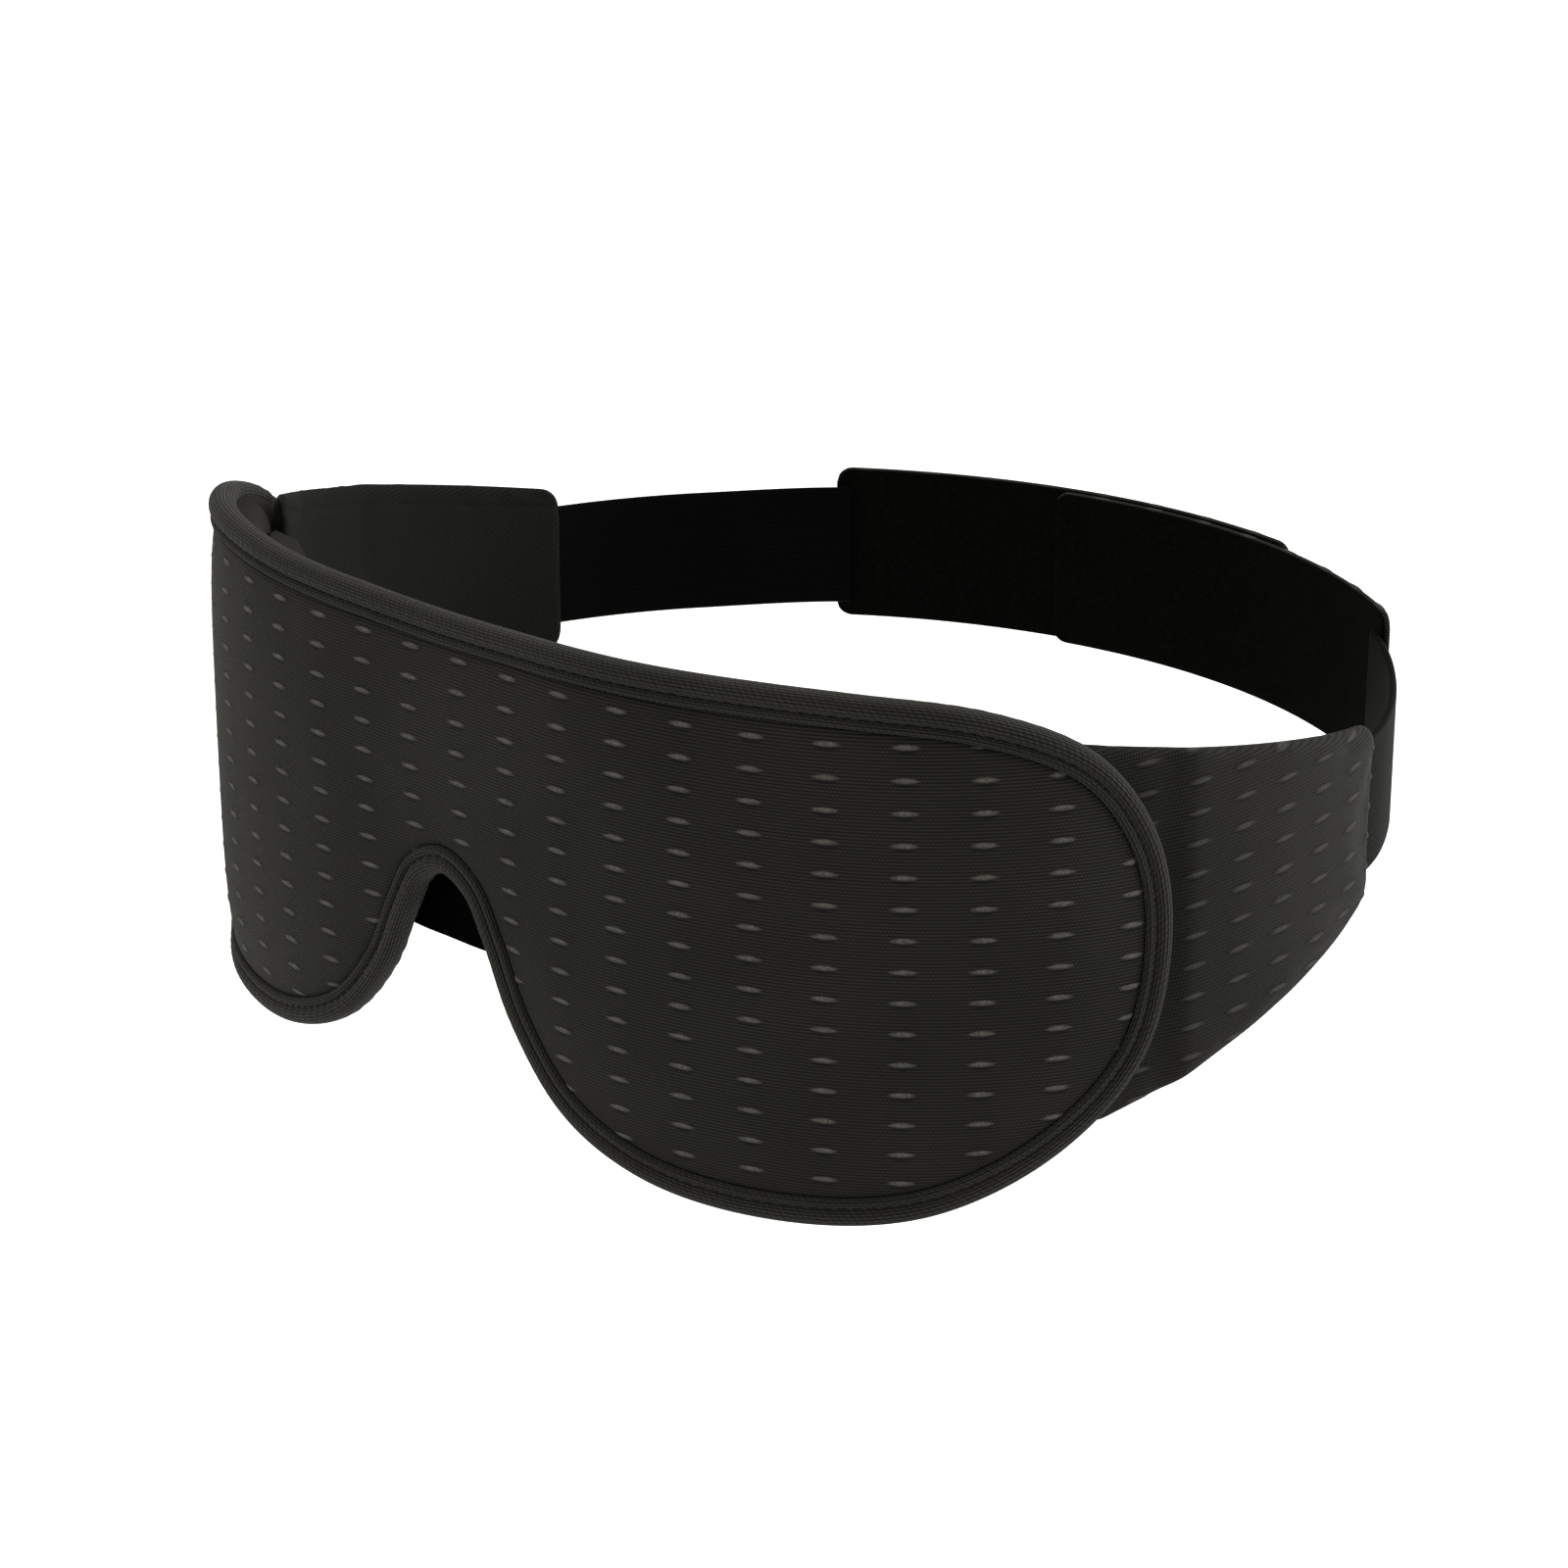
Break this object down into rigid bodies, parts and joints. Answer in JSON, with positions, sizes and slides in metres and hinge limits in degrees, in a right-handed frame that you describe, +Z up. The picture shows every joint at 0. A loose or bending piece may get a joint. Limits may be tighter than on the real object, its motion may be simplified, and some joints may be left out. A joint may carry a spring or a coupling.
{
  "type": "sleep eye mask",
  "caption": "Contoured padded sleep mask with two lobes and a nose arch, side wings, elastic straps and overlapping hook-and-loop bands behind the head.",
  "frame": {"origin": "middle of the head opening, at the height of the eyes", "axes": "+Z up towards the crown, -Y the way the wearer looks, +X the wearer's left"},
  "size_m": [0.1784, 0.155, 0.0724],
  "materials": {
    "embossed_knit": "fine ribbed charcoal knit with raised oval dimples",
    "plain_twill": "matt diagonal twill on the rolled rim",
    "braid": "matt braided piping",
    "lining": "soft brushed lining, near black",
    "foam": "dark grey open-cell foam, unseen inside",
    "elastic": "flat woven elastic, slight sheen",
    "hook_tape": "fine hook tape"
  },
  "bodies": {
    "front": {"face_panel": "embossed_knit", "foam_core": "foam", "front_lining": "lining", "rim_binding": "plain_twill", "rim_filling": "foam", "seam_welt": "braid", "eye_pad_foam_left": "foam", "eye_pad_foam_right": "foam", "eye_pad_cover_left": "lining", "eye_pad_cover_right": "lining", "wing_root_left": "embossed_knit", "wing_root_right": "embossed_knit"},
    "nose_flap": {"nose_flap": "lining"},
    "wing_left": {"wing_cover_left": "embossed_knit", "wing_foam_left": "foam", "wing_lining_left": "lining"},
    "wing_right": {"wing_cover_right": "embossed_knit", "wing_foam_right": "foam", "wing_lining_right": "lining"},
    "strap_left": {"elastic_left": "elastic"},
    "strap_right": {"elastic_right": "elastic"},
    "band_left": {"band_cover_left": "embossed_knit", "band_lining_left": "lining", "hook_patch": "hook_tape"},
    "band_right": {"band_cover_right": "embossed_knit", "band_lining_right": "lining"}
  },
  "joints": [
    {"name": "nose_flap_lift", "type": "hinge", "parent": "front", "child": "nose_flap", "pos_m": [0, -0.0749, 0.0024], "axis": [1, 0, 0], "range_deg": [0, 40], "stiffness_Nm_per_rad": 0.02},
    {"name": "wing_left_fold", "type": "hinge", "parent": "front", "child": "wing_left", "pos_m": [0.08264, -0.03005, 0], "axis": [0, 0, 1], "range_deg": [0, 25], "stiffness_Nm_per_rad": 0.04},
    {"name": "wing_right_fold", "type": "hinge", "parent": "front", "child": "wing_right", "pos_m": [-0.0826, -0.03005, 0], "axis": [0, 0, 1], "range_deg": [0, 45], "stiffness_Nm_per_rad": 0.04},
    {"name": "strap_left_fold", "type": "hinge", "parent": "wing_left", "child": "strap_left", "pos_m": [0.08234, 0.01087, 0], "axis": [0, 0, 1], "range_deg": [0, 30], "stiffness_Nm_per_rad": 0.03},
    {"name": "strap_right_fold", "type": "hinge", "parent": "wing_right", "child": "strap_right", "pos_m": [-0.07962, 0.00974, 0], "axis": [0, 0, 1], "range_deg": [0, 60], "stiffness_Nm_per_rad": 0.03},
    {"name": "strap_left_stretch", "type": "hinge", "parent": "strap_left", "child": "band_left", "pos_m": [0, -0.0234, 0], "axis": [0, 0, 1], "range_deg": [0, 6], "stiffness_Nm_per_rad": 0.8},
    {"name": "strap_right_stretch", "type": "hinge", "parent": "strap_right", "child": "band_right", "pos_m": [0, -0.0234, 0], "axis": [0, 0, -1], "range_deg": [0, 6], "stiffness_Nm_per_rad": 0.8}
  ]
}
